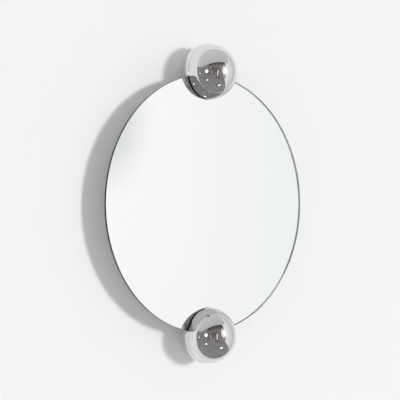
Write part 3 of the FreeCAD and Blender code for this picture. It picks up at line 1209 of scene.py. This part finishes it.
@dataclass(frozen=True)
class Highlight:
    """A bright panel that only shows in polished metal, and fades out towards its edge."""

    name: str
    azimuth: float
    elevation: float
    distance: float
    size: Place
    strength: float
    soft: float = 0.5
    tilt: float = 0.0
    sides: int = 32
    colour: Colour = WHITE

    def build(self) -> None:
        """Makes the panel, facing the mirror, with its fade in the mesh."""
        out = aim(self.azimuth, self.elevation)
        across = Vector((-out.y, out.x, 0.0)).normalized()
        facing = Matrix((across, out.cross(across), out)).transposed()
        facing @= Matrix.Rotation(math.radians(self.tilt), 3, "Z")
        reach = 0.5 if self.sides > 4 else math.sqrt(0.5)  # an oblong's corners lie farther out
        wide, tall = (side * reach for side in self.size)
        angles = [math.tau * (i + 0.5) / self.sides for i in range(self.sides)]
        rim = [(wide * math.cos(a), tall * math.sin(a)) for a in angles]
        points = [tuple(facing @ Vector((*place, self.distance))) for place in [(0, 0), *rim]]
        faces = [(0, i + 1, (i + 1) % self.sides + 1) for i in range(self.sides)]
        piece = new_piece(self.name, points, faces, finish=self.material())
        piece.data.attributes.new("core", "FLOAT", "POINT").data[0].value = 1.0
        hide(piece, "camera", "diffuse", "shadow")

    def material(self) -> Material:
        """Makes the panel's light.

        Returns:
            The material.
        """
        graph = MaterialGraph(self.name)
        core = graph.add("ShaderNodeAttribute", attribute_name="core").outputs["Fac"]
        bare = graph.math("SUBTRACT", 1.0, graph.in_mirror())
        share = graph.math("MULTIPLY", graph.spread(core, 0.0, 1.0, 0.0, self.soft), bare)
        clear = graph.add("ShaderNodeBsdfTransparent")
        glow = graph.add("ShaderNodeEmission", {"Color": self.colour, "Strength": self.strength})
        return graph.show(graph.layered(share, clear, glow))


@dataclass(frozen=True)
class Studio:
    """White wall, pale floor, soft lamps and the flats round the mirror."""

    floor: float = -1.5
    ceiling: float = 3.06
    depth: float = 4.9
    right: float = 3.2
    left: float = -5.0
    reflected_low: float = -3.4
    reflected_top: float = 5.2
    half_width: float = 8.0
    wall_top: float = 6.0
    floor_front: float = -9.0
    wall_gap: float = 0.0004
    contact: float = 0.003  # nearer pieces see through the wall, so that it isn't black there
    wall_colour: Colour = (0.93, 0.93, 0.93)
    floor_colour: Colour = (0.80, 0.80, 0.79)
    shelf: float = -1.78
    shelf_far: float = -4.0
    shelf_right: float = 2.3
    hood: float = 1.55
    hood_far: float = -1.98
    hood_right: Place = (1.35, 2.1)  # at the wall and at its far edge
    foot_gap: float = -0.003
    foot_top: float = -0.5
    fill: float = 0.465
    backdrop: float = 0.90

    def build(self) -> None:
        """Builds the stage and its lights."""
        side, gap, front = self.half_width, self.wall_gap, self.floor_front
        wall = upright((-side, gap), (side, gap), self.floor, self.wall_top)
        floor = level(self.floor, (-side, front), (side, front), (side, gap), (-side, gap))
        for item in (Plane("studio_wall", wall, self.wall_colour, self.contact),
                     Plane("studio_floor", floor, self.floor_colour, self.contact, False),
                     *self.flats(), *self.highlights(),
                     Lamp("key lamp", aim(21.5, 5.6), 11.0, 1.385),
                     Lamp("side lamp", aim(-40.0, 4.0), 10.0, 0.34),
                     Lamp("rear lamp", Vector((0.55, 0.75, 0.36)).normalized(), 30.0, 1.6)):
            item.build()
        self.build_world()

    def flats(self) -> list[Flat]:
        """The studio's plain faces, as reflections show them.

        Returns:
            The flats.
        """
        far, right, left = -self.depth, self.right, self.left
        low, top = self.reflected_low, self.reflected_top
        shelf, shelf_far, hood_far, foot = self.shelf, self.shelf_far, self.hood_far, self.foot_gap
        rest = Fade((0.86, 0.87, 0.87), (0.94, 0.94, 0.94), self.floor, self.ceiling)
        return [
            Flat("right_flat", upright((right, 0), (right, far), low, top),
                 Fade((0.62, 0.63, 0.64), (0.91, 0.91, 0.92), -0.3, -2.7, "Y"),
                 Fade((0.99, 1.01, 1.015), (1.065, 1.043, 1.05), -2.9, -4.0, "Y"),
                 shade=Shade((right, -4.85, 0.60), 0.62, 0.6)),
            Flat("back_flat", upright((left, far), (right, far), low, top),
                 Fade((0.34, 0.315, 0.30), (0.16, 0.155, 0.145), 1.9, 3.1), rest, 0.7),
            Flat("left_flat", upright((left, 0), (left, far), low, top),
                 Fade((0.30, 0.29, 0.285), (0.31, 0.305, 0.295), low, top), rest, 0.25),
            Flat("ceiling_flat", level(self.hood, (left, 0), (self.hood_right[0], 0),
                                       (self.hood_right[1], hood_far), (left, hood_far)),
                 Fade((0.69, 0.695, 0.67), (0.54, 0.54, 0.52), 0.0, hood_far, "Y"), rest),
            Flat("floor_flat", level(shelf, (left, 0), (self.shelf_right, 0),
                                     (self.shelf_right, shelf_far), (left, shelf_far)),
                 Fade((0.33, 0.32, 0.33), (0.28, 0.27, 0.28), 0.0, shelf_far, "Y"), rest, 0.25),
            # painted shade: a sheet before the wall's lower part, darker towards the floor, seen
            # only in reflections
            Flat("wall_foot_shade", upright((left, foot), (right, foot), shelf, self.foot_top),
                 Fade((0.40, 0.40, 0.40), (0.88, 0.88, 0.88), shelf, -0.7), rest),
        ]

    def highlights(self) -> list[Highlight]:
        """Bright panels that show as spots in the chrome.

        Returns:
            The panels.
        """
        cool, warm = (0.94, 0.97, 1.0), (1.0, 0.97, 0.86)
        return [
            Highlight("window_panel", 26.5, 6.0, 4.5, (2.7, 3.3), 1.9, 1.0, colour=cool),
            Highlight("round_panel", -49.9, 1.9, 3.5, (0.86, 0.86), 3.0),
            Highlight("low_panel", -49.0, -34.2, 3.05, (0.42, 0.42), 2.0),
            Highlight("side_panel", -78.5, -6.6, 4.75, (0.46, 0.46), 1.6),
            Highlight("slant_panel", 26.0, -46.5, 2.38, (0.75, 0.26), 2.0, tilt=45.0),
            Highlight("door_panel", -4.9, -4.3, 3.95, (0.36, 2.0), 1.1, sides=4, colour=warm),
            Highlight("high_panel", 68.2, 39.5, 3.8, (1.7, 0.34), 1.0, tilt=27.0, sides=4,
                      colour=warm),
        ]

    def build_world(self) -> None:
        """Builds the pale surround, dimmer as a light than as a background."""
        world = bpy.data.worlds.new("studio")
        bpy.context.scene.world = world
        world.use_nodes = True
        graph = Graph(world.node_tree)
        path = graph.add("ShaderNodeLightPath").outputs
        reflected = graph.math("MAXIMUM", path["Is Glossy Ray"], path["Is Transmission Ray"])
        seen = graph.math("MAXIMUM", path["Is Camera Ray"], reflected)
        back = graph.add("ShaderNodeBackground", {
            "Color": WHITE, "Strength": graph.spread(seen, self.fill, self.backdrop, 0.0, 1.0)})
        graph.add("ShaderNodeOutputWorld", {"Surface": back})


@dataclass(frozen=True)
class PhotoCamera:
    """The camera at the photograph's place; angles in degrees, lens and sensor in millimetres."""

    target: Point = (-24.9 * MM, -54.45 * MM, 8.5 * MM)
    turned: Point = (40.66, 0.27, 0.15)  # yaw, pitch, roll
    distance: float = 2.956
    lens: float = 112.5
    sensor: float = 36.0
    clip: Place = (0.05, 60.0)

    def build(self) -> None:
        """Makes the camera and hands it to the scene."""
        data = bpy.data.cameras.new("photo camera")
        data.lens, data.sensor_width = self.lens, self.sensor
        data.clip_start, data.clip_end = self.clip
        yaw, pitch, roll = (math.radians(v) for v in self.turned)
        turned = (Matrix.Rotation(-yaw, 4, "Z") @ Matrix.Rotation(math.pi / 2 + pitch, 4, "X")
                  @ Matrix.Rotation(roll, 4, "Z"))
        camera = bpy.data.objects.new("photo camera", data)
        camera.matrix_world = (Matrix.Translation(self.target) @ turned
                               @ Matrix.Translation((0.0, 0.0, self.distance)))
        bpy.context.scene.collection.objects.link(camera)
        bpy.context.scene.camera = camera


# ---- the whole


def main() -> None:
    """Builds the mirror round the CAD frame, then its studio and camera."""
    logging.basicConfig(level=logging.INFO, format="%(name)s: %(message)s")
    PhotoCamera().build()
    rack, lathe = FinishRack(), Lathe()
    disc = MirrorDisc(lathe, rack)
    disc.build()
    knurl, nap = RidgeWheel(), FeltNap()
    for end in End:
        BallClamp(end, lathe, knurl, nap, rack, disc.middle()).build()
    WallFixings(rack).build()
    Studio().build()
    bpy.context.scene.view_settings.view_transform = "Standard"


if __name__ == "__main__":
    main()
